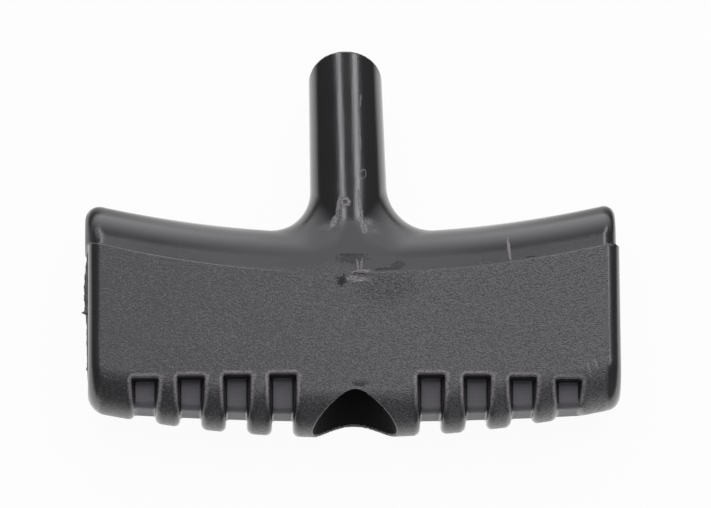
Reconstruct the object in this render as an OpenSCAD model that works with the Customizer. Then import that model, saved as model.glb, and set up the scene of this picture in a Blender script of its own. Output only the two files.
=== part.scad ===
// Starter handle: a T-shaped pull for a starter cord, moulded in one piece of soft black plastic.
// It lies on its back. X runs along the grip, Y out along the neck and Z up through the front face.
// The origin is on the back face, in the middle of the handle's length and width.

/* [Grip] */
// Width of the grip, end face to end face
grip_w = 99.4; // [80:0.2:130]
// Height of the grip at its middle, top edge to the bottom of the ribs
grip_h = 39.2; // [34:0.2:50]
// Thickness of the grip, whose top and bottom edges are full rounds
grip_t = 14.2; // [13.6:0.2:18]
// Radius of the hollow top edge
top_arc_r = 212; // [150:1:400]
// Radius of the bottom edge, along the ribs
rib_arc_r = 232; // [150:1:400]
// Rounding of the end faces' upright edges
end_edge_r = 2.6; // [1:0.1:4]
// Rounding of the two top corners
top_corner_r = 2.8; // [1:0.1:6]
// Rounding of the two bottom corners
bottom_corner_r = 3; // [1:0.1:6]

/* [Mould seam] */
// Radius of the seam that crosses the grip below its top edge
seam_arc_r = 201; // [150:1:400]
// Depth of the seam below the top edge, at the middle
seam_drop = 9.6; // [4:0.1:12]
// How far the lower mould part sits to the right of the upper one
mould_shift = 0.6; // [0:0.1:1]

/* [Neck] */
// Length of the neck's front, from the grip's top edge to the rim
neck_l = 34.2; // [20:0.2:60]
// Diameter of the neck where it meets the grip
neck_base_d = 14; // [12:0.1:14]
// Diameter of the neck at its rim
neck_end_d = 13.2; // [10:0.1:14]
// Slant of the cut across the neck's end, which leaves the front longer than the back
end_cut = 31; // [0:1:40]
// Lean of the neck to the left
neck_lean = 1.2; // [0:0.1:3]
// Radius of the hollow flare between the neck and the grip's top edge
flare_r = 8.6; // [3:0.1:12]

/* [Finger notches] */
// Least width of the solid block that stays outside the last notch
end_block_w = 6; // [4:0.5:8]
// Middle of the innermost notch, from the middle of the grip
notch_first = 13.8; // [12:0.1:15]
// Spacing of the notches
notch_pitch = 8.55; // [7:0.05:12]
// Depth of a notch in the front and back faces
notch_depth = 3; // [1.5:0.1:4]
// Width of a notch where front and back meet
notch_root_w = 3.4; // [2:0.1:4]
// Width of a notch at its floor
notch_floor_w = 3.75; // [2:0.05:4.4]
// Width of a notch at the front and back faces
notch_mouth_w = 5.4; // [4:0.1:6]
// Height of the notches' upper wall above the bottom edge, at the middle
notch_top = 10.2; // [8:0.1:14]
// Radius of the low arch that the notches' upper walls follow
notch_top_arc_r = 950; // [400:10:2000]
// Height of the notches' floor edge above the bottom edge, at the middle
notch_low = 3.8; // [1:0.1:5]
// Radius of the notches' floor edge
notch_low_arc_r = 720; // [400:10:2000]
// Rounding of the notches' floors at their lower edge
notch_edge_r = 1.2; // [0.5:0.1:2]

/* [Knot pocket and cord hole] */
// Radius of the knot pocket's bell mouth
bell_r = 7.85; // [5:0.05:8.5]
// Height over which the bell narrows into the pocket
bell_h = 11.7; // [8:0.1:14]
// How far the pocket's axis lies in front of the middle, so that the bell breaks out of the front face
bell_z = 1.3; // [0:0.1:2]
// Radius of the knot pocket above the bell
pocket_r = 4.6; // [3:0.1:5.2]
// Depth of the knot pocket, bottom edge to the shoulder that holds the knot
pocket_l = 20; // [15:0.5:26]
// Diameter of the cord hole
cord_hole_d = 4.8; // [3:0.1:6]

/* [Hidden] */
$fn = 96;

edge_r = grip_t / 2;
half_w = grip_w / 2;
// Places along the neck are measured from the lowest point of the bottom edge's arc.
top_y = grip_h;
rim_y = top_y + neck_l;
seam_y = top_y - seam_drop;
// The bell takes the lowest point of the arc away, so the handle ends at the bell's two sides.
low_y = arc_rise(sqrt(bell_r * bell_r - bell_z * bell_z), rib_arc_r);
middle_y = (rim_y + low_y) / 2;
upper_x = -mould_shift / 2;
lower_x = mould_shift / 2;
core_r = edge_r - notch_depth;
notch_n = 1 + floor((half_w - end_block_w - notch_mouth_w / 2 - notch_first) / notch_pitch);
// The upper part is this much thinner on each face, so the lower part stands proud at the seam.
seam_step = 0.05;
upper_edge_r = edge_r - seam_step;
// The upper part reaches this far into the lower one.
seam_lap = 0.4;
// Surfaces that would only touch are made to cross by this much.
cross = 0.1;
// Shapes that cut run past what they cut by this much.
past = 2;
far = 2 * grip_w;
// Where the upper part's flat faces end, below the seam
foot_y = seam_y - seam_lap - past;
// The angle that a rounded arc is swept through, and the fineness of the large arcs
arc_sweep = 60;
arc_fn = 360;
// Cones that the bell is made of
bell_steps = 16;

// The flare's centre, which touches both the neck's side and the hollow top edge
neck_base_r = neck_base_d / 2;
neck_end_r = neck_end_d / 2;
flare_x = neck_base_r + flare_r;
flare_y = top_y + top_arc_r - sqrt(pow(top_arc_r - flare_r, 2) - flare_x * flare_x);
flare_turn = 90 - asin(flare_x / (top_arc_r - flare_r));
flare_steps = 10;
top_steps = 9;
round_steps = 24;

// Rise above its lowest point of an upward-opening arc of radius r, at a distance x from its middle
function arc_rise(x, r) = r - sqrt(r * r - x * x);

// A face-on outline between the front and back faces, thicker than the grip by extra on each side
module through(extra = past) {
    translate([0, 0, -edge_r - extra])
        linear_extrude(height = grip_t + 2 * extra)
            children();
}

// A strip of the thickness 2 * half_t, turned about the centre of an upward-opening arc.
// Its lower edge follows the arc, whose lowest point is at height y0, and is rounded by round_r.
module rounded_arc(r, y0, half_t, round_r) {
    translate([0, y0 + r, 0])
        rotate([0, 0, -90 - arc_sweep / 2])
            rotate_extrude(angle = arc_sweep, $fn = arc_fn)
                union() {
                    translate([r - grip_h, -half_t])
                        square([grip_h - round_r, 2 * half_t]);
                    if (round_r < half_t)
                        translate([r - grip_h, round_r - half_t])
                            square([grip_h, 2 * (half_t - round_r)]);
                    for (z = round_r < half_t ? [round_r - half_t, half_t - round_r] : [0])
                        translate([r - round_r, z])
                            circle(r = round_r);
                }
}

// The end faces, with their upright edges rounded
module end_faces() {
    rotate([90, 0, 0])
        translate([0, 0, -far])
            linear_extrude(height = 2 * far)
                union() {
                    square([grip_w - 2 * end_edge_r, 2 * grip_t], center = true);
                    square([grip_w, grip_t - 2 * end_edge_r], center = true);
                    for (sx = [-1, 1])
                        for (sz = [-1, 1])
                            translate([
                                sx * (half_w - end_edge_r),
                                sz * (edge_r - end_edge_r - cross)
                            ])
                                circle(r = end_edge_r);
                }
}

// The grip's face-on outline, which rounds its four corners and is clear of its edges between them
module corners() {
    corner_x = half_w;
    top_at_end = top_y + arc_rise(corner_x - top_corner_r, top_arc_r);
    low_at_end = arc_rise(corner_x - bottom_corner_r, rib_arc_r);
    union() {
        translate([-corner_x + top_corner_r, -past])
            square([2 * (corner_x - top_corner_r), rim_y + 4 * past]);
        translate([-corner_x, low_at_end + bottom_corner_r])
            square([2 * corner_x, top_at_end - top_corner_r - low_at_end - bottom_corner_r]);
        translate([-corner_x + bottom_corner_r, -past])
            square([2 * (corner_x - bottom_corner_r), grip_h / 2]);
        for (sx = [-1, 1]) {
            translate([sx * (corner_x - top_corner_r), top_at_end - top_corner_r])
                circle(r = top_corner_r);
            translate([sx * (corner_x - bottom_corner_r), low_at_end + bottom_corner_r])
                circle(r = bottom_corner_r);
        }
    }
}

// Everything below the seam
module below_seam() {
    translate([0, seam_y + seam_arc_r, 0])
        through(2 * past)
            difference() {
                translate([-far, -2 * seam_arc_r])
                    square([2 * far, 2 * seam_arc_r]);
                circle(r = seam_arc_r, $fn = arc_fn);
            }
}

// The centre line of the rounded top edge's left half, from the neck's end to past the end face.
// Each station is [centre x, centre y, direction to the outline x, y, radius].
function neck_station() =
    let (l = rim_y + past - flare_y)
    [-l * sin(neck_lean), flare_y + l * cos(neck_lean), -cos(neck_lean), -sin(neck_lean), neck_end_r];
function flare_station(k) =
    let (a = flare_turn * k / flare_steps)
    let (r = neck_base_r + (upper_edge_r - neck_base_r) * k / flare_steps)
    [-flare_x + (flare_r + r) * cos(a), flare_y - (flare_r + r) * sin(a), -cos(a), sin(a), r];
function top_station(k) =
    let (a0 = 90 - flare_turn)
    let (a = a0 + (asin((half_w + past) / top_arc_r) - a0) * k / top_steps)
    let (r = top_arc_r + edge_r)
    [-r * sin(a), top_y + top_arc_r - r * cos(a), sin(a), cos(a), upper_edge_r];
left_path = concat(
    [neck_station()],
    [for (k = [0:flare_steps]) flare_station(k)],
    [for (k = [1:top_steps]) top_station(k)]
);

// The same station on the right, where only the neck keeps its lean to the left
function right_station(i) =
    let (p = left_path[i])
    i == 0 ? [p[0], p[1], -p[2], -p[3], p[4]] : [-p[0], p[1], -p[2], p[3], p[4]];

// One ring of points at a station: half a circle from front to back, then the foot of the flat faces
function ring(p) = concat(
    [for (j = [0:round_steps])
        let (v = 90 - 180 * j / round_steps)
        [p[0] + p[4] * cos(v) * p[2], p[1] + p[4] * cos(v) * p[3], p[4] * sin(v)]],
    [[p[0], foot_y, -p[4]], [p[0], foot_y, p[4]]]
);
ring_n = round_steps + 3;

// Two triangles between points a, b of one ring and c, d of the next
function quad(a, b, c, d) = [[a, b, d], [a, d, c]];

// The upper part of the handle: a half-round edge carried along the top edge, the flares and the neck
module upper_skin() {
    n = len(left_path);
    points = [
        for (side = [0, 1])
            for (i = [0:n - 1])
                each ring(side == 0 ? left_path[i] : right_station(i))
    ];
    function at(side, i, j) = (side * n + i) * ring_n + j % ring_n;
    function facing(side, f) = side == 1 ? f : [f[2], f[1], f[0]];
    function strip(side, i, j) =
        [for (f = quad(at(side, i, j), at(side, i, j + 1), at(side, i + 1, j), at(side, i + 1, j + 1)))
            facing(side, f)];
    round_faces = [
        for (side = [0, 1])
            for (i = [0:n - 2])
                for (j = [0:round_steps - 1])
                    each strip(side, i, j)
    ];
    flat_faces = [
        for (side = [0, 1])
            for (i = [1:n - 2])
                for (j = [round_steps:ring_n - 1])
                    each strip(side, i, j)
    ];
    end_fans = [
        for (side = [0, 1])
            for (j = [1:ring_n - 2])
                facing(side, [at(side, n - 1, 0), at(side, n - 1, j), at(side, n - 1, j + 1)])
    ];
    rim_fans = [
        for (side = [0, 1])
            for (j = [1:round_steps - 1])
                facing(side, [at(side, 0, 0), at(side, 0, j + 1), at(side, 0, j)])
    ];
    polyhedron(points = points, faces = concat(round_faces, flat_faces, end_fans, rim_fans));
}

// The plane that the neck's end is cut along
module end_plane() {
    translate([0, rim_y - neck_end_r * tan(end_cut), 0])
        rotate([-end_cut, 0, 0])
            translate([-far / 2, 0, -far / 2])
                cube([far, far, far]);
}

// The upper mould part: the neck, the flares and the grip's top edge, down to the seam
module upper_part() {
    difference() {
        translate([upper_x, 0, 0])
            intersection() {
                upper_skin();
                end_faces();
                through() corners();
            }
        translate([0, -seam_lap, 0])
            below_seam();
        end_plane();
    }
}

// The lower mould part: the grip's faces, with the notches that leave its ribs
module lower_part() {
    difference() {
        intersection() {
            translate([lower_x, 0, 0])
                intersection() {
                    rounded_arc(rib_arc_r, 0, edge_r, edge_r);
                    end_faces();
                    through() corners();
                }
            below_seam();
        }
        translate([lower_x, 0, 0])
            notches();
    }
}

// A block that reaches from the notches' upper wall past the bottom edge, with drafted side walls
module notch_block() {
    draft = (notch_mouth_w - notch_floor_w) / notch_depth;
    outer_w = notch_mouth_w + draft * past;
    side = [[outer_w / 2, edge_r + past], [notch_floor_w / 2, core_r], [notch_root_w / 2, 0]];
    rotate([90, 0, 0])
        linear_extrude(height = grip_h)
            polygon(concat(
                side,
                [for (i = [1:-1:0]) [side[i][0], -side[i][1]]],
                [for (i = [0:2]) [-side[i][0], i == 2 ? 0 : -side[i][1]]],
                [for (i = [1:-1:0]) [-side[i][0], side[i][1]]]
            ));
}

// The core that stays inside the notches: thinner than the grip, with a flat bottom edge
module notch_core() {
    rounded_arc(notch_low_arc_r, notch_low, core_r, notch_edge_r);
}

// What the finger notches take out, on both sides of the middle
module notches() {
    difference() {
        for (side = [-1, 1])
            for (i = [0:notch_n - 1]) {
                x = notch_first + i * notch_pitch;
                top = notch_top - arc_rise(x, notch_top_arc_r);
                translate([side * x, top, 0])
                    notch_block();
            }
        notch_core();
    }
}

// Radius of the knot pocket at height y: a bell that narrows along half a cosine wave
function bell_at(y) =
    pocket_r + (bell_r - pocket_r) * (1 + cos(180 * min(1, max(0, y) / bell_h))) / 2;

// The knot pocket, which opens at the bottom edge and breaks out of the front face in an arch
module knot_pocket() {
    steps = [0:bell_steps];
    translate([0, 0, bell_z])
        rotate([-90, 0, 0])
            rotate_extrude()
                polygon(concat(
                    [[0, -past], [bell_r, -past]],
                    [for (i = steps) let (y = bell_h * i / bell_steps) [bell_at(y), y]],
                    [[pocket_r, pocket_l], [0, pocket_l]]
                ));
}

// The hole for the cord, from the pocket's shoulder out through the neck
module cord_hole() {
    rotate([-90, 0, 0])
        translate([0, 0, pocket_l - cross])
            cylinder(d = cord_hole_d, h = rim_y + past - pocket_l);
}

module starter_handle() {
    color("#1c1c1e")
        translate([0, -middle_y, edge_r])
            difference() {
                union() {
                    upper_part();
                    lower_part();
                }
                translate([lower_x, 0, 0]) {
                    knot_pocket();
                    cord_hole();
                }
            }
}

starter_handle();
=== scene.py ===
"""Looks of a starter handle: one T-shaped moulding of black rubber that lies on its back.

Lengths are in millimetres where a name says nothing else, and become metres when a mesh is made.
The handle's own places are x along the grip, y up the neck from the lowest point of the ribs' arc,
and z towards the front face from the middle of the thickness.
"""

from math import cos, radians, sin, tan

import bpy
import numpy as np
from mathutils import Matrix, Vector


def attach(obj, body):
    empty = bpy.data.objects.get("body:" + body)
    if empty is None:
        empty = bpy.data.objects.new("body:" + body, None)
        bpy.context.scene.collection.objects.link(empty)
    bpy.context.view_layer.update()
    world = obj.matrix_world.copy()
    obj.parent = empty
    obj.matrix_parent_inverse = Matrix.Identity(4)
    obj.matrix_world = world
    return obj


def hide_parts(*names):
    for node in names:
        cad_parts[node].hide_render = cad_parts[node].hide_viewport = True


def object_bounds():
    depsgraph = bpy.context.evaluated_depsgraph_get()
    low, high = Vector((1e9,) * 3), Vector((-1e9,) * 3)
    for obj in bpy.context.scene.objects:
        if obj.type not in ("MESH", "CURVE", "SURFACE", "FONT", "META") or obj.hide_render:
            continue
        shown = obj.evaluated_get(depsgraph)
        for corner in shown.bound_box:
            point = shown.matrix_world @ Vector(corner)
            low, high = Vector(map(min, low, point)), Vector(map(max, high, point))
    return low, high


MM = 0.001

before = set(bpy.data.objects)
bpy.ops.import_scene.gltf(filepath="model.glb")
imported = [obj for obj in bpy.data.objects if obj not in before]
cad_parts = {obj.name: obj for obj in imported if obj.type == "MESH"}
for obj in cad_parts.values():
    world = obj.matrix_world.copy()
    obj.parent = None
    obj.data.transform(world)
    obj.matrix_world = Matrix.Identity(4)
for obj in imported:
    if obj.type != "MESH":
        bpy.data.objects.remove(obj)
cad_low, cad_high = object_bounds()

# Sizes of the handle
END_TO_END = (cad_high.x - cad_low.x) / MM
THICKNESS = (cad_high.z - cad_low.z) / MM
MOULD_SHIFT = 0.6
HALF_W = (END_TO_END - MOULD_SHIFT) / 2
EDGE_R = THICKNESS / 2
TOP_Y = 39.2
NECK_L = 34.2
RIM_Y = TOP_Y + NECK_L
MIDDLE_Y = RIM_Y - cad_high.y / MM

# The two long arcs have their middles a little to the left
TOP_ARC_R = 212
TOP_ARC_X = -0.5
RIB_ARC_R = 232
RIB_ARC_X = -2.0
END_EDGE_R = 2.6
TOP_LEFT_CORNER_R = 3.4
BOTTOM_LEFT_CORNER_R = 3.0
BOTTOM_RIGHT_CORNER_R = 2.1
# The ends' rounding becomes that of the bottom corners from this height down, over this length
BOTTOM_CORNER_Y = 14
BOTTOM_CORNER_BLEND = 8

SEAM_ARC_R = 201
SEAM_Y = TOP_Y - 9.6
# Height over which one mould part's surface passes into the other's
SEAM_BLEND = 0.2

NECK_BASE_R = 7.1
NECK_END_R = 6.6
NECK_LEAN = radians(1.2)
NECK_SHIFT = 0.1
# The neck is wider than thick by this much on each side
NECK_OVAL = 0.25
END_CUT = radians(31)
FLARE_LEFT_R = 8.3
FLARE_RIGHT_R = 9.2
# The flare's radius narrows towards the faces, as this power of a parabola that stops short of 0
FLARE_FRONT = 0.12
FLARE_POWER = 0.75

NOTCHES = [13.8 + 8.55 * i for i in range(4)]
NOTCH_DEPTH = 3.0
# Half the width at the middle of the thickness, at the notches' floors and at the faces
NOTCH_HALF_W = (1.95, 1.95, 2.45)
# All the notches sit this much to the right of the lower mould part's middle
NOTCH_SHIFT = 0.36
NOTCH_TOP = 10.2
NOTCH_TOP_ARC_R = 950

# The core that stays inside the notches: where it ends below, how much it thins on each side down to
# there, and the rounding of its lower edge
CORE_LOW = 3.5
CORE_LOW_ARC_R = 720
CORE_DRAFT = 0.5
CORE_EDGE_R = 1.2

BELL_R = 7.85
BELL_H = 11.7
BELL_Z = 1.3
POCKET_R = 4.6
POCKET_L = 20.0
CORD_HOLE_R = 2.4

# Roundings that the mould leaves on its small edges
NOTCH_CORNER_R = 0.4
FLOOR_EDGE_R = 0.3
MOUTH_EDGE_R = 0.3
SHOULDER_R = 1.0
RIM_EDGE_R = 0.3
RIB_EDGE_R = 1.15
NOTCH_TOP_EDGE_R = 0.55
# The last two pass into each other from this far below the notches' upper walls, over this height
EDGE_CHANGE_BELOW = 0.3
EDGE_CHANGE_BLEND = 2


def above_arc(x, y, low, r):
    """Height above an arc of radius r that opens upwards and has its lowest point at y = low."""
    return r - np.hypot(x, y - low - r)


def joined(a, b, r):
    """The union of two fields, whose inner corner is filled with a round of radius r."""
    return np.maximum(r, np.minimum(a, b)) - np.hypot(np.maximum(r - a, 0), np.maximum(r - b, 0))


def common(a, b, r):
    """The part that two fields share, whose edge is rounded with radius r."""
    return np.minimum(-r, np.maximum(a, b)) + np.hypot(np.maximum(r + a, 0), np.maximum(r + b, 0))


def full_round(outline, z, r):
    """A slab of half-thickness r whose edges are full rounds. outline is the distance outside it."""
    return np.hypot(np.maximum(r + outline, 0), z) - r


def upper_field(x, y, z):
    """Neck, flares and top edge. The outline is the hollow top arc joined to the leaning neck by the
    flare, and its edge is a full round, which on the neck takes the neck's own radius. The flare is
    widest at the middle of the thickness and tightens towards the faces, so the neck stays a
    cylinder down to its foot."""
    up = y - TOP_Y
    along = up * cos(NECK_LEAN) - x * sin(NECK_LEAN)
    across = (x + NECK_SHIFT) * cos(NECK_LEAN) + up * sin(NECK_LEAN)
    share = np.clip(along / NECK_L, 0, 1)
    neck_r = NECK_BASE_R + (NECK_END_R - NECK_BASE_R) * share
    flare_r = np.where(across < 0, FLARE_LEFT_R, FLARE_RIGHT_R)
    tight = np.clip(1 - (z / EDGE_R) ** 2, FLARE_FRONT, 1) ** FLARE_POWER
    top_edge = above_arc(x - TOP_ARC_X, y, TOP_Y, TOP_ARC_R)
    outline = joined(top_edge, np.abs(across) - neck_r - NECK_OVAL, flare_r * tight)
    skin_r = EDGE_R + (neck_r - EDGE_R) * np.clip(along / flare_r, 0, 1)
    corner_r = np.where(x < 0, TOP_LEFT_CORNER_R, END_EDGE_R)
    return common(full_round(outline, z, skin_r), np.abs(x) - HALF_W, corner_r)


def notch_field(x, y, z):
    """What the finger notches take out: a drafted block below each upper wall."""
    half_w = np.interp(np.abs(z), (0, EDGE_R - NOTCH_DEPTH, EDGE_R), NOTCH_HALF_W)
    blocks = []
    for at in NOTCHES:
        top = NOTCH_TOP - at * at / (2 * NOTCH_TOP_ARC_R)
        beside = np.abs(np.abs(x - NOTCH_SHIFT) - at) - half_w
        blocks.append(common(beside, y - top, NOTCH_CORNER_R))
    return np.minimum.reduce(blocks)


def rib_field(x, y, z):
    """The grip's faces: a slab above the ribs' arc, less the notches. The notches' edges are rounder
    along the ribs than at the upper walls."""
    low = np.clip((BOTTOM_CORNER_Y - y) / BOTTOM_CORNER_BLEND, 0, 1)
    bottom_r = np.where(x < 0, BOTTOM_LEFT_CORNER_R, BOTTOM_RIGHT_CORNER_R)
    corner_r = END_EDGE_R + (bottom_r - END_EDGE_R) * low
    outline = -above_arc(x - RIB_ARC_X, y, 0, RIB_ARC_R)
    slab = common(full_round(outline, z, EDGE_R), np.abs(x) - HALF_W, corner_r)
    below_top = np.clip((NOTCH_TOP - EDGE_CHANGE_BELOW - y) / EDGE_CHANGE_BLEND, 0, 1)
    edge_r = NOTCH_TOP_EDGE_R + (RIB_EDGE_R - NOTCH_TOP_EDGE_R) * below_top
    return common(slab, -notch_field(x, y, z), edge_r)


def core_field(x, y, z):
    """The thinner slab that stays inside the notches. It tapers down to a lower edge on its own arc."""
    up = above_arc(x, y, CORE_LOW, CORE_LOW_ARC_R)
    taper = CORE_DRAFT * (1 - np.clip(up / (NOTCH_TOP - CORE_LOW), 0, 1))
    core = common(np.abs(z) - EDGE_R + NOTCH_DEPTH + taper, -up, CORE_EDGE_R)
    return np.maximum(core, np.abs(x) - NOTCHES[-1] - NOTCH_HALF_W[2] - NOTCH_SHIFT)


def seam_height(x, y):
    """Height above the seam, whose arc opens upwards."""
    return above_arc(x, y, SEAM_Y, SEAM_ARC_R)


def bore_field(x, y, z):
    """The knot pocket and the cord hole. The pocket is turned about an axis in front of the middle,
    and its mouth is a bell, half a cosine wave, that breaks out of the front face in an arch."""
    up = np.clip(y / BELL_H, 0, 1)
    bell = POCKET_R + (BELL_R - POCKET_R) * (1 + np.cos(np.pi * up)) / 2
    pocket = common(np.hypot(x, z - BELL_Z) - bell, y - POCKET_L, SHOULDER_R)
    return -np.minimum(pocket, np.hypot(x, z) - CORD_HOLE_R)


def solid_field(x, y, z):
    """The handle before its pocket and hole: the lower mould part passes into the upper one at the
    seam, and a slanted plane cuts the neck's end."""
    shift = MOULD_SHIFT / 2
    upper = upper_field(x + shift, y, z)
    lower = joined(rib_field(x - shift, y, z), core_field(x - shift, y, z), FLOOR_EDGE_R)
    seam = np.clip(seam_height(x, y) / SEAM_BLEND + 0.5, 0, 1)
    body = lower + (upper - lower) * seam
    cut = (y - RIM_Y + NECK_END_R * tan(END_CUT)) * cos(END_CUT) - z * sin(END_CUT)
    return common(body, cut, RIM_EDGE_R)


def handle_field(x, y, z):
    """Negative inside the handle and positive outside, about the distance to its surface in mm."""
    return common(solid_field(x, y, z), bore_field(x - MOULD_SHIFT / 2, y, z), MOUTH_EDGE_R)


# The grid that the surface is found on. A knot is a place and the step that follows it, and the last
# one's step goes unused. The lines are close together at the mouth, the notches' walls, the ribs,
# the seam, the top edge, the rim and the ends.
FINE = 0.3
COARSE = 0.62
ACROSS_MOUTH = [(0, FINE), (9.0, COARSE)]
ACROSS_ENDS = [(HALF_W - END_EDGE_R, 0.35), (HALF_W + 1, 1)]
# A notch's walls are this far from its middle, and the fine steps run from this far before a wall to
# this far after it
WALL_ASIDE = 2.3
FINE_BEFORE = 1.0
FINE_AFTER = 0.9
UP_KNOTS = [(-0.9, 0.28), (12.4, 0.9), (30.5, 0.45), (47.5, 0.9), (63, 0.32), (RIM_Y + 1, 1)]
THROUGH_KNOTS = [(0, 0.4), (2.4, 0.34), (EDGE_R + 0.6, 1)]


def spaced(knots):
    """Grid lines from knot to knot."""
    parts = []
    for (start, step), (end, _) in zip(knots, knots[1:]):
        count = max(1, round((end - start) / step))
        parts.append(np.linspace(start, end, count, endpoint=False))
    return np.append(np.concatenate(parts), knots[-1][0])


def mirrored(half):
    """Grid lines from 0 up, with the same lines below 0."""
    return np.concatenate((-half[:0:-1], half))


def across_knots():
    """The knots along one half of the grip."""
    walls = []
    for at in NOTCHES:
        for wall in (at - WALL_ASIDE, at + WALL_ASIDE):
            walls += [(wall - FINE_BEFORE, FINE), (wall + FINE_AFTER, COARSE)]
    return ACROSS_MOUTH + walls + ACROSS_ENDS


def slope(field, p, step):
    """The field's gradient at points p, from central differences."""
    columns = []
    for axis in range(3):
        move = np.zeros(3)
        move[axis] = step
        ahead = field(*(p + move).T)
        behind = field(*(p - move).T)
        columns.append((ahead - behind) / (2 * step))
    return np.stack(columns, axis=1)


# How the net's points settle on the surface: rounds, the step of the slope, the least square of the
# slope that they trust and the longest move in one round
SETTLE_ROUNDS = 5
SETTLE_STEP = 0.02
SETTLE_LEAST = 0.05
SETTLE_MOVE = 0.3


def net_surface(field, xs, ys, zs):
    """The closed surface where a field is zero, as points and quads.

    Each grid cell that the surface passes through gets one point, the mean of where the surface
    cuts the cell's edges. Each grid edge that it cuts gets one quad, through the four cells round
    that edge. The points then move down the field's slope until the field is zero there.
    """
    gx, gy, gz = np.meshgrid(xs, ys, zs, indexing="ij")
    value = field(gx, gy, gz)
    inside = value < 0
    corners = [(i, j, k) for i in (0, 1) for j in (0, 1) for k in (0, 1)]
    count = np.zeros(np.array(inside.shape) - 1, int)
    for i, j, k in corners:
        count += inside[i:i + count.shape[0], j:j + count.shape[1], k:k + count.shape[2]]
    cell = np.argwhere((count > 0) & (count < 8))
    number = np.full(count.shape, -1)
    number[tuple(cell.T)] = np.arange(len(cell))

    lines = (xs, ys, zs)
    total = np.zeros((len(cell), 3))
    hits = np.zeros(len(cell))
    for axis in range(3):
        along = np.eye(3, dtype=int)[axis]
        for start in corners:
            if start[axis]:
                continue
            a = cell + start
            b = a + along
            va = value[tuple(a.T)]
            vb = value[tuple(b.T)]
            hit = (va < 0) != (vb < 0)
            share = np.where(hit, va / np.where(hit, va - vb, 1), 0)
            for n in range(3):
                from_line = lines[n][a[:, n]]
                to_line = lines[n][b[:, n]]
                total[:, n] += np.where(hit, from_line + share * (to_line - from_line), 0)
            hits += hit
    points = total / hits[:, None]

    quads = []
    for axis in range(3):
        side_a = np.eye(3, dtype=int)[(axis + 1) % 3]
        side_b = np.eye(3, dtype=int)[(axis + 2) % 3]
        low = np.take(inside, range(inside.shape[axis] - 1), axis)
        high = np.take(inside, range(1, inside.shape[axis]), axis)
        edge = np.argwhere(low != high)
        leaves = low[tuple(edge.T)]
        ring = [edge - side_a - side_b, edge - side_b, edge, edge - side_a]
        quad = np.stack([number[tuple(c.T)] for c in ring], axis=1)
        quads.append(np.where(leaves[:, None], quad, quad[:, ::-1]))
    quads = np.concatenate(quads)

    for _ in range(SETTLE_ROUNDS):
        away = slope(field, points, SETTLE_STEP)
        level = field(*points.T)
        size = np.maximum((away * away).sum(axis=1), SETTLE_LEAST)
        move = -(level / size)[:, None] * away
        length = np.linalg.norm(move, axis=1)[:, None]
        points = points + move * np.minimum(1, SETTLE_MOVE / np.maximum(length, 1e-9))
    return points, quads


def to_frame(points):
    """The handle's own places, in mm, as places in the shared frame, in metres."""
    return (points + (0, -MIDDLE_Y, EDGE_R)) * MM


def mesh_piece(name, points, faces, normals=None):
    """A smooth mesh object from arrays of points and faces, with normals at its points if given."""
    mesh = bpy.data.meshes.new(name)
    mesh.from_pydata(points.tolist(), [], faces.tolist())
    mesh.polygons.foreach_set("use_smooth", np.ones(len(mesh.polygons), bool))
    if normals is not None:
        mesh.normals_split_custom_set_from_vertices(normals.tolist())
    piece = bpy.data.objects.new(name, mesh)
    bpy.context.scene.collection.objects.link(piece)
    return piece


def measure(piece, name, values):
    """Keeps one number at each point of a piece, for its material to read."""
    layer = piece.data.attributes.new(name, "FLOAT", "POINT")
    layer.data.foreach_set("value", values.astype(np.float32))


def linear(code):
    """An sRGB hex colour as linear red, green, blue and alpha."""
    values = [int(code[n:n + 2], 16) / 255 for n in (1, 3, 5)]
    return [v / 12.92 if v <= 0.04045 else ((v + 0.055) / 1.055) ** 2.4 for v in values] + [1.0]


def material(name):
    """An empty node material and its tree."""
    made = bpy.data.materials.new(name)
    made.use_nodes = True
    made.node_tree.nodes.clear()
    return made, made.node_tree


def node(tree, kind, inputs=(), **settings):
    """Adds one node. settings are its properties, and inputs maps a socket to a value or a link."""
    made = tree.nodes.new(kind)
    for key, value in settings.items():
        setattr(made, key, value)
    for key, value in dict(inputs).items():
        if isinstance(value, bpy.types.NodeSocket):
            tree.links.new(value, made.inputs[key])
        elif isinstance(value, bpy.types.Node):
            tree.links.new(value.outputs[0], made.inputs[key])
        else:
            made.inputs[key].default_value = value
    return made


def maths(tree, operation, *values, clamp=False):
    """One operation on values or links. MULTIPLY_ADD is the first times the second, plus the third."""
    return node(tree, "ShaderNodeMath", enumerate(values), operation=operation, use_clamp=clamp)


def ramp(tree, value, start, end, low=0.0, high=1.0, **settings):
    """Goes from low to high while the value goes from start to end, and no further beyond them."""
    return node(tree, "ShaderNodeMapRange", {
        "Value": value, "From Min": start, "From Max": end, "To Min": low, "To Max": high}, **settings)


def blend(tree, share, a, b):
    """The number that is a where the share is 0 and b where it is 1."""
    return node(tree, "ShaderNodeMix", {0: share, 2: a, 3: b}).outputs[0]


def blend_colour(tree, share, a, b):
    """The colour that is a where the share is 0 and b where it is 1."""
    return node(tree, "ShaderNodeMix", {0: share, 6: a, 7: b}, data_type="RGBA").outputs[2]


def noise(tree, place, size, detail, **more):
    """Noise whose largest lumps have the given size, in the units of the place."""
    inputs = {"Vector": place, "Scale": 1 / size, "Detail": detail, **more}
    return node(tree, "ShaderNodeTexNoise", inputs)


def object_place(tree):
    """The place on the piece, in the shared frame."""
    return node(tree, "ShaderNodeTexCoord").outputs["Object"]


# Where the handle's looks change. Beside the notches a strip of this width is rubbed smooth. It is
# narrower by RUBBED_LESS at their upper walls, which it comes to over a height of RUBBED_CHANGE, and
# its edge fades over RUBBED_FADE.
RUBBED_W = 1.25
RUBBED_LESS = 0.5
RUBBED_CHANGE = 1.0
RUBBED_FADE = 0.5
# The same strip inside the ends' rounded edges
END_RUBBED_W = 0.1
END_RUBBED_FADE = 0.6
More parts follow.
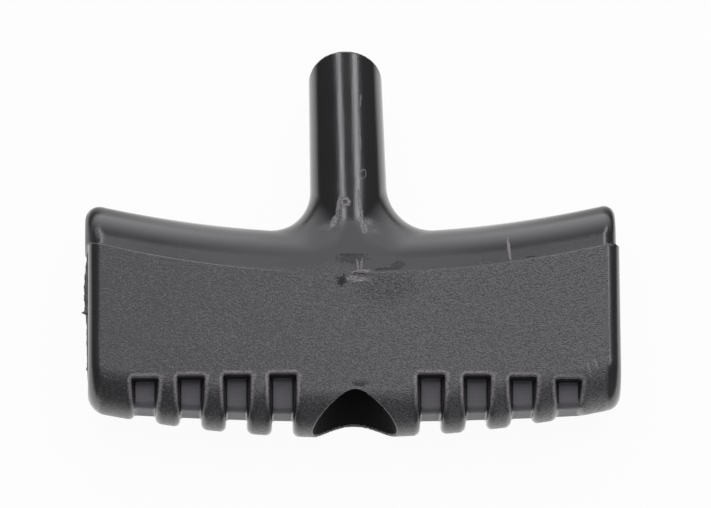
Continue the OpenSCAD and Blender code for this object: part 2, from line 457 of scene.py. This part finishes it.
# The pale line along a rib's edge, a painted highlight of its rounding: how far its middle is from
# the notch, its half-width, and the height where it begins and over which it comes up. It is less
# than RIDGE_DEPTH below the faces.
RIDGE_ASIDE = 0.5
RIDGE_HALF_W = 0.4
RIDGE_LOW = 3
RIDGE_RISE = 3
RIDGE_DEPTH = 0.15
# How deep the notches' floors and the bore lie where their zones show in full, with the floors' painted
# reflection and the bore's painted shade
FLOOR_DEEP = 0.5
BORE_DEEP = 0.6
# Mesh faces deeper than this have the pocket's material, a copy of the rubber that reflects less and so
# paints the pocket's shade
POCKET_DEEP = 0.5
# Step of the slope that gives the normals
NORMAL_STEP = 0.06


def handle():
    """The whole handle as one closed skin around the field's zero level."""
    across = mirrored(spaced(across_knots()))
    through = mirrored(spaced(THROUGH_KNOTS))
    points, quads = net_surface(handle_field, across, spaced(UP_KNOTS), through)
    normals = slope(handle_field, points, NORMAL_STEP)
    normals /= np.linalg.norm(normals, axis=1)[:, None]
    piece = mesh_piece("handle", to_frame(points), quads, normals)

    x, y, z = points.T
    lower_x = x - MOULD_SHIFT / 2
    below_skin = rib_field(lower_x, y, z)
    beside = notch_field(lower_x, y, z)
    inward = -solid_field(x, y, z)
    rubbed_w = RUBBED_W - RUBBED_LESS * np.clip((y - NOTCH_TOP) / RUBBED_CHANGE + 1, 0, 1)
    near_notch = np.clip((rubbed_w - beside) / RUBBED_FADE, 0, 1)
    at_end = np.clip((np.abs(x) - HALF_W + END_EDGE_R + END_RUBBED_W) / END_RUBBED_FADE, 0, 1)
    # The pale line along the ribs' edges, a painted highlight
    ridge = np.clip(1 - np.abs(beside - RIDGE_ASIDE) / RIDGE_HALF_W, 0, 1)
    ridge = ridge * np.clip((y - RIDGE_LOW) / RIDGE_RISE, 0, 1)
    measure(piece, "seam", seam_height(x, y))
    measure(piece, "floor", np.clip(below_skin / FLOOR_DEEP, 0, 1))
    measure(piece, "mouth", -bore_field(lower_x, y, z))
    measure(piece, "edge", np.maximum(near_notch, at_end))
    measure(piece, "ridge", ridge * (below_skin < RIDGE_DEPTH))
    # How far into the bore a point lies, where painted shade darkens it
    measure(piece, "bore", np.clip(inward / BORE_DEEP, 0, 1))

    piece.data.materials.append(moulded_rubber())
    piece.data.materials.append(pocket_rubber())
    # Faces deep in the pocket take the darker copy of the rubber, which paints its shade
    deep = -solid_field(*points[quads].mean(axis=1).T) > POCKET_DEEP
    piece.data.polygons.foreach_set("material_index", deep.astype(np.int32))
    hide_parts("starter_handle")
    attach(piece, "root")


# The flash leaf that the mould left on the left end: heights up the grip, and how far it stands out
LEAF = ((36.3, 0.0), (35.0, 0.3), (33.0, 0.5), (30.0, 0.75), (27.5, 0.8), (25.0, 0.7), (24.3, 0.65),
        (23.9, 1.25), (23.5, 0.5), (21.5, 0.3), (18.0, 0.3), (15.0, 0.2), (13.2, 0.2), (12.9, 0.45),
        (12.6, 0.15), (10.0, 0.0))
LEAF_ROOT = 0.6
LEAF_ROOT_T = 0.5
LEAF_EDGE_T = 0.08
LEAF_ROWS = 160
# Ripples of its width, as a share of it, and the sway of its edge in mm, with their rates in 1/mm
LEAF_RIPPLES = ((0.08, 2.9), (0.04, 7.7))
LEAF_SWAY = (0.35, 0.5)


def flash_leaf():
    """A thin torn sheet that stands out of the left end at the middle of its thickness. Along it the
    width follows LEAF with a fine ripple, and each section is a thin wedge with a blunt edge."""
    heights, widths = np.array(LEAF[::-1]).T
    y = np.linspace(heights[0], heights[-1], LEAF_ROWS)
    ripple = sum((share * np.sin(rate * y) for share, rate in LEAF_RIPPLES), start=1)
    width = np.interp(y, heights, widths) * ripple
    root = np.full(y.shape, -HALF_W + MOULD_SHIFT / 2 + LEAF_ROOT)
    edge = root - LEAF_ROOT - width
    sway = LEAF_SWAY[0] * np.sin(LEAF_SWAY[1] * y)
    rows = []
    for at, thickness in ((root, LEAF_ROOT_T), (edge, LEAF_EDGE_T), (edge, -LEAF_EDGE_T),
                          (root, -LEAF_ROOT_T)):
        bent = sway * (root - at) / (root - edge)
        rows.append(np.stack((at, y, thickness / 2 + bent), axis=1))

    first = np.arange(LEAF_ROWS - 1)
    quads = []
    for side in range(4):
        a = first + side * LEAF_ROWS
        b = first + (side + 1) % 4 * LEAF_ROWS
        quads.append(np.stack((a, a + 1, b + 1, b), axis=1))
    last = LEAF_ROWS - 1
    ends = np.array([[side * LEAF_ROWS for side in range(4)],
                     [side * LEAF_ROWS + last for side in (3, 2, 1, 0)]])
    piece = mesh_piece("flash_leaf", to_frame(np.concatenate(rows)), np.concatenate(quads + [ends]))
    piece.data.materials.append(torn_flash())
    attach(piece, "root")


def torn_flash():
    """The same rubber squeezed out thin between the mould parts and torn off: dull, grey, uneven."""
    made, tree = material("torn_rubber_flash")
    rough = noise(tree, object_place(tree), 0.5 * MM, 2.0)
    colour = blend_colour(tree, rough, linear("#4a4a48"), linear("#8a8a84"))
    bump = node(tree, "ShaderNodeBump", {"Height": rough, "Strength": 1.0, "Distance": 0.1 * MM})
    skin = node(tree, "ShaderNodeBsdfPrincipled", {
        "Base Color": colour, "Roughness": 0.55, "IOR": 1.6, "Normal": bump})
    node(tree, "ShaderNodeOutputMaterial", {"Surface": skin})
    return made


def pocket_rubber():
    """The same rubber inside the pocket and the hole, off rough core pins: matt. Its reflection is
    turned down as painted shade, so that hardly any light comes back out of the pocket."""
    made, tree = material("pocket_rubber_painted_shade")
    rough = noise(tree, object_place(tree), 0.6 * MM, 2.0)
    gloss = ramp(tree, rough, 0.0, 1.0, 0.7, 0.95)
    bump = node(tree, "ShaderNodeBump", {"Height": rough, "Strength": 1.0, "Distance": 0.05 * MM})
    # The low specular level is painted shade: it darkens the pocket as its depth would
    skin = node(tree, "ShaderNodeBsdfPrincipled", {
        "Base Color": linear("#202020"), "Roughness": gloss, "Specular IOR Level": 0.25,
        "Normal": bump})
    node(tree, "ShaderNodeOutputMaterial", {"Surface": skin})
    return made


# Marks on the front face: the middle's x and y, the half-length, the half-width and the turn in
# degrees, then how much of the mark shows.
LIGHT_MARKS = [
    (1.1, 28.6, 2.0, 0.7, 0, 1.0),        # torn rim of the gate's pit on the seam
    (1.6, 30.0, 1.8, 0.35, 6, 0.8),
    (0.9, 31.2, 1.2, 0.2, 97, 0.8),
    (1.6, 31.3, 1.0, 0.2, 82, 0.7),
    (-2.7, 42.8, 2.6, 0.32, 80, 0.75),    # painted highlights at the foot of the neck, where its light stripes run on
    (-3.5, 39.8, 1.5, 0.6, 62, 0.9),
    (-4.7, 38.9, 1.9, 0.6, 8, 0.2),
    (1.5, 42.6, 2.8, 0.32, 98, 0.8),
    (2.1, 38.8, 1.5, 0.6, 105, 0.95),
    (3.4, 38.1, 1.9, 0.6, -6, 0.2),
    (-1.4, 43.6, 0.9, 0.9, 0, 0.85),      # rough pock on the neck
    (29.2, 34.3, 2.1, 0.28, 96, 1.0),     # scratches at the right
    (45.2, 12.0, 1.0, 0.25, 105, 0.8),
    (43.9, 11.2, 1.6, 0.3, 100, 0.4),
    (-47.7, 37.4, 1.2, 0.5, 100, 0.35),   # scratch at the left
    (1.7, 63.8, 1.1, 0.12, 86, 0.6),      # fine scratches on the neck
    (1.6, 56.0, 1.5, 0.12, 94, 0.45),
]
# Pits, pressed in and painted near black: the dark colour is painted shade in their hollows
PITS = [
    (0.7, 29.4, 0.6, 0.36, 0, 1.0),       # the gate's pit
    (1.6, 29.25, 0.75, 0.4, 0, 1.0),
    (-1.4, 43.5, 0.35, 0.45, 0, 1.0),     # the middle of the pock on the neck
    (33.2, 32.75, 0.9, 0.24, 9, 1.0),     # nick on the seam
]
SMOOTH_PATCHES = [
    (-2.1, 28.2, 1.7, 1.1, 60, 1.0),      # smeared rubber round the gate
    (5.2, 30.3, 2.4, 0.5, 3, 0.8),
    (8.2, 31.1, 1.7, 1.0, 20, 0.7),
    (-0.2, 32.4, 3.6, 1.1, 0, 0.72),
    (-0.2, 33.2, 3.4, 0.4, 0, 0.8),
    (1.2, 8.1, 1.7, 0.65, 0, 1.0),        # painted shade of a small notch in the lip over the mouth's crown, darker and smoother
]
# The rough noise times MARK_RAGGED is added to a place's distance from a mark's middle, which is 1 at
# the ellipse. The mark shows in full below the second limit and not at all beyond the first.
MARK_RAGGED = 1.6
MARK_FADE = (1.95, 1.5)
# A loop scratched into the neck: an ellipse as above, and half the width of its line as a share
LOOP = (2.0, 49.1, 0.55, 0.95, -15)
LOOP_LINE = 0.13


def from_ellipse(tree, place, x, y, length, width, turn):
    """The distance from the middle of an ellipse on the front face, which is 1 at its edge."""
    near = node(tree, "ShaderNodeMapping", {
        "Vector": place, "Location": (x, y, EDGE_R), "Rotation": (0, 0, radians(turn)),
        "Scale": (length, width, EDGE_R)}, vector_type="TEXTURE")
    return node(tree, "ShaderNodeVectorMath", {0: near}, operation="LENGTH").outputs["Value"]


def marks(tree, place, rough, spots):
    """The most that any mark of a list shows at each place: an ellipse whose edge is broken up by the
    rough noise."""
    most = 0.0
    for *ellipse, amount in spots:
        away = from_ellipse(tree, place, *ellipse)
        away = maths(tree, "MULTIPLY_ADD", rough, MARK_RAGGED, away)
        most = maths(tree, "MAXIMUM", ramp(tree, away, *MARK_FADE, 0.0, amount), most)
    return most


# Sizes of the noises in mm: the eroded grain, what breaks up marks and zones, and the slow blotches
# of bloom
GRAIN_SIZE = 0.28
ROUGH_SIZE = 0.4
BLOOM_SIZE = 7.0

# The neck's gloss comes up between these heights, and its edge is ragged by this much
NECK_FOOT = (39.6, 42.2)
NECK_RAGGED = 2.4
# Half the width of the seam, over which the upper mould part's polish begins
SEAM_HALF_W = 0.06
# The grain ends at the seam near the handle's ends, and fades out above it near FADE_X. The height
# above the seam is multiplied by FADE_LEAST there, and by FADE_STEEPER more for each mm aside. With
# the rough noise added, the ungrained rubber begins and is complete at these two limits.
FADE_X = -4.0
FADE_STEEPER = 1 / 12
FADE_LEAST = 0.35
UNGRAINED = (0.4, 1.5)
# Light marks show only on the grain's higher places, in full from the second limit
FLECKS = (0.38, 0.56)
FLECKS_LEAST = 0.25
# The flash line along the seam is torn and dull. It is plain on the left and gone at the right.
LINE_HALF_W = 0.08
LINE_ENDS_X = (-12.0, -20.0)
# The mouth's rim is worn pale in a thin line that also paints the highlight of its rounding, and the
# ribs' edges get thin pale lines that are painted highlights
RIM_W = (0.36, 0.1)
RIM_SHOWN = 0.6
RIDGE_SHOWN = 1.6
# The grain's tops are worn paler. More of them are pale towards the right, which paints the brighter
# light on the face's right side
TOPS = (0.42, 0.62)
TOPS_PER_X = 0.0018
HOLLOWS_COLOUR = "#151416"
TOPS_COLOUR = "#575659"

# Roughness of the grained face and what the rough noise adds to it, and of the polished band between
# two distances from FADE_X. The blotches of bloom change it by half of BLOOM_GLOSS either way.
FACE_GLOSS = 0.23
FACE_GLOSS_NOISE = 0.3
BAND_ASIDE = (6.0, 32.0)
BAND_GLOSS = (0.42, 0.25)
BLOOM_GLOSS = 0.08

# Depth of the grain in mm. It is deeper towards the right, and deepest in an ellipse by the gate.
GRAIN_X = (5.0, 40.0)
GRAIN_DEPTH = (0.12, 0.2)
GATE_ELLIPSE = (6.0, 27.5, 6.0, 3.5, 0)
GATE_FADE = (0.5, 1.2)
GATE_DEPTH = 0.3
# Each zone lies over the ones before it: its colour, its roughness and its grain's depth in mm.
# None keeps what is below.
ZONES = {
    "ungrained": ("#1c1b1d", None, 0.015),
    "neck": ("#121213", 0.2, 0.01),
    "edge": ("#171618", 0.28, 0.01),
    # Smeared rubber round the gate, and painted shade over the mouth's crown
    "smears_and_shade": ("#0c0c0c", 0.16, 0.015),
    # The floors' light grey is painted reflection: on the same black rubber it paints the light that
    # the cutter's lines spread back
    "floor": ("#5f5d62", 0.6, 0.02),
    # The bore's near black is painted shade inside the mouth and the cord hole
    "bore": ("#0e0e0e", None, None),
    # Pale marks: real scratches, scuffs and torn flash, and painted highlights on the ribs' edges, the
    # mouth's rim and the neck's foot
    "wear_and_highlights": ("#9c979b", 0.6, None),
    # Pits are painted near black as shade in their hollows
    "dark": ("#050505", 0.3, 0.02),
}
# Drag lines along the neck and the cutter's lines across the notches' floors: their size each way
# and their height, in mm
DRAWN_LINES = {
    "neck": ((0.3, 9, 0.3), 0.012),
    "floor": ((5, 0.25, 0.25), 0.06),
}
# Heights of the seam's flash line, the pits and the light marks, in mm
LINE_HEIGHT = 0.05
PIT_HEIGHT = -0.12
MARK_HEIGHT = 0.03
# The bloom that rubber sweats out reflects more than bare rubber, so the index is high for it
BLOOMED_IOR = 1.8


def moulded_rubber():
    """Black EPDM rubber, compression moulded in two steel mould parts.

    The lower part was spark-eroded, so the face below the seam is finely grained and satin. The
    upper part was turned and polished, which leaves the band above the seam smoother and the neck
    glossy, with fine drag lines along it. The notches' floors keep the cutter's lines.
    """
    # The notches' floors are painted light grey as reflection, the bore and the pits dark as shade, and
    # thin pale lines paint highlights on the ribs' edges, the mouth's rim and the neck's foot
    made, tree = material("moulded_black_rubber")
    # Places in the handle's own millimetres
    place = node(tree, "ShaderNodeMapping", {
        "Vector": object_place(tree), "Location": (0, MIDDLE_Y, -EDGE_R),
        "Scale": (1 / MM, 1 / MM, 1 / MM)})
    parts = node(tree, "ShaderNodeSeparateXYZ", {0: place}).outputs
    seam, floor, mouth, bore, edge, ridge = (
        node(tree, "ShaderNodeAttribute", attribute_name=name).outputs["Fac"]
        for name in ("seam", "floor", "mouth", "bore", "edge", "ridge"))
    rough = noise(tree, place, ROUGH_SIZE, 2.0)
    bloom = noise(tree, place, BLOOM_SIZE, 3.0)
    grain = noise(tree, place, GRAIN_SIZE, 2.0, Roughness=0.6)

    # Zones that the mould parts leave
    ragged = maths(tree, "MULTIPLY_ADD", rough, NECK_RAGGED, parts["Y"])
    neck = ramp(tree, ragged, *NECK_FOOT, interpolation_type="SMOOTHSTEP")
    above = ramp(tree, seam, -SEAM_HALF_W, SEAM_HALF_W)
    from_middle = maths(tree, "ABSOLUTE", maths(tree, "ADD", parts["X"], -FADE_X))
    reach = maths(tree, "MULTIPLY_ADD", from_middle, FADE_STEEPER, FADE_LEAST)
    ungrained = ramp(tree, maths(tree, "MULTIPLY_ADD", seam, reach, rough), *UNGRAINED)

    # Marks of the gate and of use, with painted shade in the pits and over the mouth's crown and
    # painted highlights at the neck's foot
    smears_and_shade = marks(tree, place, rough, SMOOTH_PATCHES)
    dark = marks(tree, place, rough, PITS)
    light = marks(tree, place, rough, LIGHT_MARKS)
    loop = maths(tree, "COMPARE", from_ellipse(tree, place, *LOOP), 1.0, LOOP_LINE)
    light = maths(tree, "MULTIPLY_ADD", loop, rough, light, clamp=True)
    flecks = ramp(tree, grain, *FLECKS, FLECKS_LEAST)
    light = maths(tree, "MULTIPLY", light, flecks)
    line = maths(tree, "MULTIPLY", maths(tree, "COMPARE", seam, 0.0, LINE_HALF_W), rough)
    line = maths(tree, "MULTIPLY", line, ramp(tree, parts["X"], *LINE_ENDS_X))
    rim = ramp(tree, mouth, *RIM_W, 0.0, RIM_SHOWN)
    ridge = maths(tree, "MULTIPLY", maths(tree, "MULTIPLY", ridge, flecks), RIDGE_SHOWN, clamp=True)
    # Pale marks and lines: real scratches and the torn flash line, with painted highlights on the ribs'
    # edges, the mouth's rim and the neck's foot
    wear_and_highlights = light
    for mark in (rim, ridge, line):
        wear_and_highlights = maths(tree, "MAXIMUM", wear_and_highlights, mark)

    # Colour, roughness and depth of the grain: the grained face and the band first, then the zones
    # Pale tops grow towards the right as painted light
    tops = ramp(tree, maths(tree, "MULTIPLY_ADD", parts["X"], TOPS_PER_X, grain), *TOPS)
    colour = blend_colour(tree, tops, linear(HOLLOWS_COLOUR), linear(TOPS_COLOUR))
    band = ramp(tree, from_middle, *BAND_ASIDE, *BAND_GLOSS)
    gloss = maths(tree, "MULTIPLY_ADD", rough, FACE_GLOSS_NOISE, FACE_GLOSS)
    gloss = blend(tree, above, gloss, band)
    even = ramp(tree, parts["X"], *GRAIN_X, *GRAIN_DEPTH)
    depth = ramp(tree, from_ellipse(tree, place, *GATE_ELLIPSE), *GATE_FADE, GATE_DEPTH, even)
    shares = {"ungrained": ungrained, "neck": neck, "edge": edge, "smears_and_shade": smears_and_shade,
              "floor": floor, "bore": bore, "wear_and_highlights": wear_and_highlights, "dark": dark}
    for name, (zone_colour, zone_gloss, zone_depth) in ZONES.items():
        colour = blend_colour(tree, shares[name], colour, linear(zone_colour))
        if zone_gloss is not None:
            gloss = blend(tree, shares[name], gloss, zone_gloss)
        if zone_depth is not None:
            depth = blend(tree, shares[name], depth, zone_depth)
    gloss = maths(tree, "MULTIPLY_ADD", bloom, BLOOM_GLOSS, gloss)
    gloss = maths(tree, "SUBTRACT", gloss, BLOOM_GLOSS / 2)

    # Relief in millimetres
    relief = maths(tree, "MULTIPLY", grain, depth)
    for name, (sizes, height) in DRAWN_LINES.items():
        drawn = node(tree, "ShaderNodeMapping", {"Vector": place, "Scale": [1 / s for s in sizes]})
        lines = maths(tree, "MULTIPLY", noise(tree, drawn, 1.0, 1.0), shares[name])
        relief = maths(tree, "MULTIPLY_ADD", lines, height, relief)
    for mark, height in ((line, LINE_HEIGHT), (dark, PIT_HEIGHT), (light, MARK_HEIGHT)):
        relief = maths(tree, "MULTIPLY_ADD", mark, height, relief)
    bump = node(tree, "ShaderNodeBump", {"Height": relief, "Strength": 1.0, "Distance": MM})
    skin = node(tree, "ShaderNodeBsdfPrincipled", {
        "Base Color": colour, "Roughness": gloss, "Normal": bump, "IOR": BLOOMED_IOR})
    node(tree, "ShaderNodeOutputMaterial", {"Surface": skin})
    return made


# The floor is white paper. It shows its full white to the camera and in reflections, and keeps a
# share of its own shading, so that the handle's shadow stays on it. It lies just under the handle.
FLOOR_SIZE = 8.0
FLOOR_BELOW = 0.0001
FLOOR_GLOW = 0.95
# In the handle's reflections the paper is brighter than plain white, as it is overexposed in the
# photo, and dim to both sides of the neck and further out before the ribs, which the lamps don't
# reach. Places are in metres.
FLOOR_REFLECTED = 1.6
FLOOR_REFLECTED_DIM = 0.1
DIM_ASIDE = (0.022, 0.065)
DIM_BEYOND = (0.008, 0.02)
DIM_BEFORE = (-0.045, -0.08)


def white_floor():
    """A plain white ground plane under the handle's back."""
    half = FLOOR_SIZE / 2
    low = cad_low.z - FLOOR_BELOW
    corners = np.array([(-half, -half, low), (half, -half, low), (half, half, low), (-half, half, low)])
    piece = mesh_piece("floor", corners, np.array([[0, 1, 2, 3]]))
    made, tree = material("white_paper")
    ray = node(tree, "ShaderNodeLightPath").outputs
    seen = maths(tree, "ADD", ray["Is Camera Ray"], ray["Is Glossy Ray"])
    seen = maths(tree, "ADD", seen, ray["Is Transmission Ray"], clamp=True)
    share = maths(tree, "MULTIPLY", seen, FLOOR_GLOW)
    parts = node(tree, "ShaderNodeSeparateXYZ", {0: object_place(tree)}).outputs
    aside = ramp(tree, maths(tree, "ABSOLUTE", parts["X"]), *DIM_ASIDE)
    beyond = ramp(tree, parts["Y"], *DIM_BEYOND)
    before = ramp(tree, parts["Y"], *DIM_BEFORE)
    dim = maths(tree, "MAXIMUM", maths(tree, "MULTIPLY", aside, beyond), before)
    reflected = ramp(tree, dim, 0.0, 1.0, FLOOR_REFLECTED, FLOOR_REFLECTED_DIM)
    strength = blend(tree, ray["Is Glossy Ray"], 1.0, reflected)
    paper = node(tree, "ShaderNodeBsdfDiffuse", {"Color": linear("#ffffff")})
    glow = node(tree, "ShaderNodeEmission", {"Color": (1, 1, 1, 1), "Strength": strength})
    mixed = node(tree, "ShaderNodeMixShader", {0: share, 1: paper, 2: glow})
    node(tree, "ShaderNodeOutputMaterial", {"Surface": mixed})
    piece.data.materials.append(made)


# The room's light: dim to the sides, a little lighter from the ribs' side, where the camera stands,
# and bright low down behind the neck
ROOM_SIDES = 0.16
ROOM_FRONT = 0.33
ROOM_BEHIND = 2.1
ROOM_BEHIND_START = 0.3
ROOM_BEHIND_POWER = 1.5
LIGHT_COLOUR = (1.0, 0.985, 1.03)


def studio_world():
    """A grey room that lightens towards the neck's side, and plain white for the camera. Its level
    is a ramp on the ribs' side, plus a steeper one in the direction's part along the neck."""
    world = bpy.data.worlds.new("studio")
    world.use_nodes = True
    tree = world.node_tree
    tree.nodes.clear()
    ray = node(tree, "ShaderNodeLightPath").outputs
    way = node(tree, "ShaderNodeTexCoord").outputs["Generated"]
    along = node(tree, "ShaderNodeSeparateXYZ", {0: way}).outputs["Y"]
    front = ramp(tree, along, -1.0, 0.0, ROOM_FRONT, ROOM_SIDES)
    behind = maths(tree, "POWER", ramp(tree, along, ROOM_BEHIND_START, 1.0), ROOM_BEHIND_POWER)
    level = maths(tree, "MULTIPLY_ADD", behind, ROOM_BEHIND, front)
    room = node(tree, "ShaderNodeBackground", {"Color": (*LIGHT_COLOUR, 1), "Strength": level})
    white = node(tree, "ShaderNodeBackground", {"Color": (1, 1, 1, 1), "Strength": 1.0})
    mixed = node(tree, "ShaderNodeMixShader", {0: ray["Is Camera Ray"], 1: room, 2: white})
    node(tree, "ShaderNodeOutputWorld", {"Surface": mixed})
    bpy.context.scene.world = world


# Softboxes: the direction from the handle, the distance, the two sides and the radiance.
# Metres, and a radiance of 1 is what a white surface shows under plain light.
SOFTBOXES = {
    "softbox_left": ((-0.27, 0.34, 0.90), 1.0, 0.14, 0.75, 4.6),
    "softbox_right": ((0.375, 0.34, 0.85), 1.0, 0.125, 0.75, 5.4),
}


def softbox(name, direction, distance, width, length, radiance):
    """A rectangular lamp that faces the handle, its long side up the neck."""
    lamp = bpy.data.lights.new(name, "AREA")
    lamp.shape = "RECTANGLE"
    lamp.size = width
    lamp.size_y = length
    lamp.color = LIGHT_COLOUR
    lamp.energy = radiance * width * length * np.pi
    made = bpy.data.objects.new(name, lamp)
    towards = Vector(direction).normalized()
    made.location = towards * distance
    made.rotation_mode = "QUATERNION"
    made.rotation_quaternion = towards.to_track_quat("Z", "Y")
    made.visible_camera = False
    bpy.context.scene.collection.objects.link(made)


# The camera's place, fitted to the handle's outline in the photograph. It is aimed at the height
# FIT_Y of the handle, on its middle line. Its distance and its clipping are in metres.
FIT_Y = 36.76
CAMERA_YAW = radians(-1.65)
CAMERA_ELEVATION = radians(73.56)
CAMERA_ROLL = radians(0.13)
CAMERA_DISTANCE = 1.485
CAMERA_CLIP = (0.05, 50)
PIXELS_PER_MM = 5.327
PHOTO_W = 711
PHOTO_H = 508
MIDDLE_PIXEL = (351.7, 247.3)
SENSOR_W = 36.0


def camera():
    """Looks down on the handle from the ribs' side, a little from the left."""
    lens = bpy.data.cameras.new("camera")
    lens.sensor_width = SENSOR_W
    lens.lens = PIXELS_PER_MM * CAMERA_DISTANCE / MM * SENSOR_W / PHOTO_W
    lens.shift_x = (PHOTO_W / 2 - MIDDLE_PIXEL[0]) / PHOTO_W
    lens.shift_y = (MIDDLE_PIXEL[1] - PHOTO_H / 2) / PHOTO_W
    lens.clip_start, lens.clip_end = CAMERA_CLIP
    made = bpy.data.objects.new("camera", lens)
    bpy.context.scene.collection.objects.link(made)
    back = Vector((sin(CAMERA_YAW), -cos(CAMERA_YAW) * cos(CAMERA_ELEVATION),
                   cos(CAMERA_YAW) * sin(CAMERA_ELEVATION)))
    up = Vector((0, sin(CAMERA_ELEVATION), cos(CAMERA_ELEVATION)))
    right = up.cross(back).normalized()
    up = back.cross(right)
    turned = Matrix((right, up, back)).transposed().to_4x4()
    middle = Vector((0, (FIT_Y - MIDDLE_Y) * MM, EDGE_R * MM))
    made.matrix_world = (Matrix.Translation(middle + back * CAMERA_DISTANCE) @ turned
                         @ Matrix.Rotation(CAMERA_ROLL, 4, "Z"))
    bpy.context.scene.camera = made


handle()
flash_leaf()
white_floor()
studio_world()
for name, spec in SOFTBOXES.items():
    softbox(name, *spec)
camera()

scene = bpy.context.scene
scene.view_settings.view_transform = "Standard"
